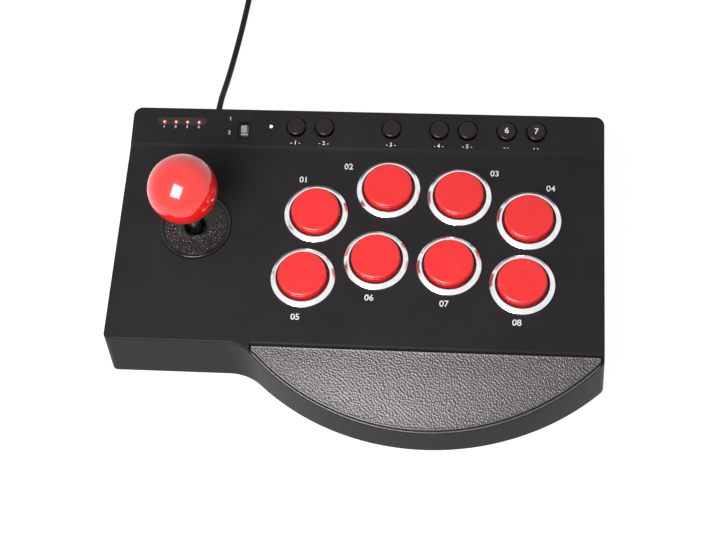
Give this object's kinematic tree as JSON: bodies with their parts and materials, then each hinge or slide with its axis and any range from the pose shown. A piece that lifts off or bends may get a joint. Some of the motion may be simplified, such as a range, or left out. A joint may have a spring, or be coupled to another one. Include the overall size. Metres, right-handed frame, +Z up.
{
  "type": "arcade stick",
  "caption": "Table-top arcade stick: low wedge case with a ball-top joystick, round push buttons in chrome rings, a rear strip of small keys and indicators, and a curved wrist rest.",
  "frame": {"origin": "centre of the case's bounding box in plan, on the floor under its feet, without the cord", "axes": "+X to the player's right along the longest side, +Y to the rear where the cord leaves, +Z up"},
  "size_m": [0.2528, 0.3566, 0.1015],
  "materials": {
    "case_black": "fine matte moulded grain",
    "pad_grain": "leather-grained moulded inlay with a soft sheen",
    "disc_grain": "leather-grained with a smooth bright rim",
    "chrome_ring": "bright plated",
    "red_gloss": "polished",
    "black_gloss": "polished",
    "smoked_window": "smoked, polished",
    "lamp_red": "translucent",
    "lamp_white": "translucent",
    "knob_grey": "satin",
    "steel": "bright turned",
    "inner_plastic": "plain moulded",
    "switch_black": "plain moulded",
    "board_green": "solder mask",
    "foot_rubber": "matte",
    "cord_black": "satin"
  },
  "bodies": {
    "case": {"base_plate": "case_black", "button_board": "board_green", "button_ring_1": "chrome_ring", "button_ring_2": "chrome_ring", "button_ring_3": "chrome_ring", "button_ring_4": "chrome_ring", "button_ring_5": "chrome_ring", "button_ring_6": "chrome_ring", "button_ring_7": "chrome_ring", "button_ring_8": "chrome_ring", "button_switches": "switch_black", "case_screws": "steel", "coil_tie": "cord_black", "cord_coil": "cord_black", "cord_tube": "cord_black", "dust_disc": "disc_grain", "foot_1": "foot_rubber", "foot_2": "foot_rubber", "foot_3": "foot_rubber", "foot_4": "foot_rubber", "foot_5": "foot_rubber", "gimbal_pins": "steel", "indicator_leds": "lamp_red", "indicator_window": "smoked_window", "inner_screws": "steel", "pivot_housing": "inner_plastic", "plug_grip": "cord_black", "plug_shell": "steel", "restrictor_gate": "inner_plastic", "return_spring": "steel", "slide_switch_body": "switch_black", "status_lamp": "lamp_white", "stick_switches": "switch_black", "strain_relief": "cord_black", "strip_board": "board_green", "strip_switches": "switch_black", "upper_case": "case_black", "wrist_pad": "pad_grain"},
    "gimbal": {"gimbal_ring": "inner_plastic", "cross_pin": "steel"},
    "stick": {"stick_shaft": "steel", "ball_top": "red_gloss", "actuator": "inner_plastic", "shaft_clip": "steel"},
    "mode_slider": {"switch_knob": "knob_grey"},
    "button_1": {"button_plunger_1": "red_gloss"},
    "button_2": {"button_plunger_2": "red_gloss"},
    "button_3": {"button_plunger_3": "red_gloss"},
    "button_4": {"button_plunger_4": "red_gloss"},
    "button_5": {"button_plunger_5": "red_gloss"},
    "button_6": {"button_plunger_6": "red_gloss"},
    "button_7": {"button_plunger_7": "red_gloss"},
    "button_8": {"button_plunger_8": "red_gloss"},
    "small_key_1": {"small_button_1": "black_gloss"},
    "small_key_2": {"small_button_2": "black_gloss"},
    "small_key_3": {"small_button_3": "black_gloss"},
    "small_key_4": {"small_button_4": "black_gloss"},
    "small_key_5": {"small_button_5": "black_gloss"},
    "small_key_6": {"small_button_6": "black_gloss"},
    "small_key_7": {"small_button_7": "black_gloss"}
  },
  "joints": [
    {"name": "stick_fore_aft", "type": "hinge", "parent": "case", "child": "gimbal", "pos_m": [-0.0845, 0.01742, 0.03324], "axis": [1, 0, 0], "range_deg": [-9, 9], "stiffness_Nm_per_rad": 1.3, "deforming": ["return_spring"]},
    {"name": "stick_side", "type": "hinge", "parent": "gimbal", "child": "stick", "pos_m": [-0.0845, 0.01742, 0.03324], "axis": [0, 0.9945, 0.1045], "range_deg": [-9, 9], "stiffness_Nm_per_rad": 1.3, "deforming": ["return_spring"]},
    {"name": "button_1_press", "type": "slide", "parent": "case", "child": "button_1", "axis": [0, 0.1045, -0.9945], "range_m": [0, 0.003], "stiffness_N_per_m": 120, "springref_m": -0.004},
    {"name": "button_2_press", "type": "slide", "parent": "case", "child": "button_2", "axis": [0, 0.1045, -0.9945], "range_m": [0, 0.003], "stiffness_N_per_m": 120, "springref_m": -0.004},
    {"name": "button_3_press", "type": "slide", "parent": "case", "child": "button_3", "axis": [0, 0.1045, -0.9945], "range_m": [0, 0.003], "stiffness_N_per_m": 120, "springref_m": -0.004},
    {"name": "button_4_press", "type": "slide", "parent": "case", "child": "button_4", "axis": [0, 0.1045, -0.9945], "range_m": [0, 0.003], "stiffness_N_per_m": 120, "springref_m": -0.004},
    {"name": "button_5_press", "type": "slide", "parent": "case", "child": "button_5", "axis": [0, 0.1045, -0.9945], "range_m": [0, 0.003], "stiffness_N_per_m": 120, "springref_m": -0.004},
    {"name": "button_6_press", "type": "slide", "parent": "case", "child": "button_6", "axis": [0, 0.1045, -0.9945], "range_m": [0, 0.003], "stiffness_N_per_m": 120, "springref_m": -0.004},
    {"name": "button_7_press", "type": "slide", "parent": "case", "child": "button_7", "axis": [0, 0.1045, -0.9945], "range_m": [0, 0.003], "stiffness_N_per_m": 120, "springref_m": -0.004},
    {"name": "button_8_press", "type": "slide", "parent": "case", "child": "button_8", "axis": [0, 0.1045, -0.9945], "range_m": [0, 0.003], "stiffness_N_per_m": 120, "springref_m": -0.004},
    {"name": "small_key_1_press", "type": "slide", "parent": "case", "child": "small_key_1", "axis": [0, 0.2419, -0.9703], "range_m": [0, 0.001], "stiffness_N_per_m": 300, "springref_m": -0.002},
    {"name": "small_key_2_press", "type": "slide", "parent": "case", "child": "small_key_2", "axis": [0, 0.2419, -0.9703], "range_m": [0, 0.001], "stiffness_N_per_m": 300, "springref_m": -0.002},
    {"name": "small_key_3_press", "type": "slide", "parent": "case", "child": "small_key_3", "axis": [0, 0.2419, -0.9703], "range_m": [0, 0.001], "stiffness_N_per_m": 300, "springref_m": -0.002},
    {"name": "small_key_4_press", "type": "slide", "parent": "case", "child": "small_key_4", "axis": [0, 0.2419, -0.9703], "range_m": [0, 0.001], "stiffness_N_per_m": 300, "springref_m": -0.002},
    {"name": "small_key_5_press", "type": "slide", "parent": "case", "child": "small_key_5", "axis": [0, 0.2419, -0.9703], "range_m": [0, 0.001], "stiffness_N_per_m": 300, "springref_m": -0.002},
    {"name": "small_key_6_press", "type": "slide", "parent": "case", "child": "small_key_6", "axis": [0, 0.2419, -0.9703], "range_m": [0, 0.001], "stiffness_N_per_m": 300, "springref_m": -0.002},
    {"name": "small_key_7_press", "type": "slide", "parent": "case", "child": "small_key_7", "axis": [0, 0.2419, -0.9703], "range_m": [0, 0.001], "stiffness_N_per_m": 300, "springref_m": -0.002},
    {"name": "mode_slide", "type": "slide", "parent": "case", "child": "mode_slider", "axis": [0, 0.9703, 0.2419], "range_m": [-0.0018, 0.0018]}
  ]
}
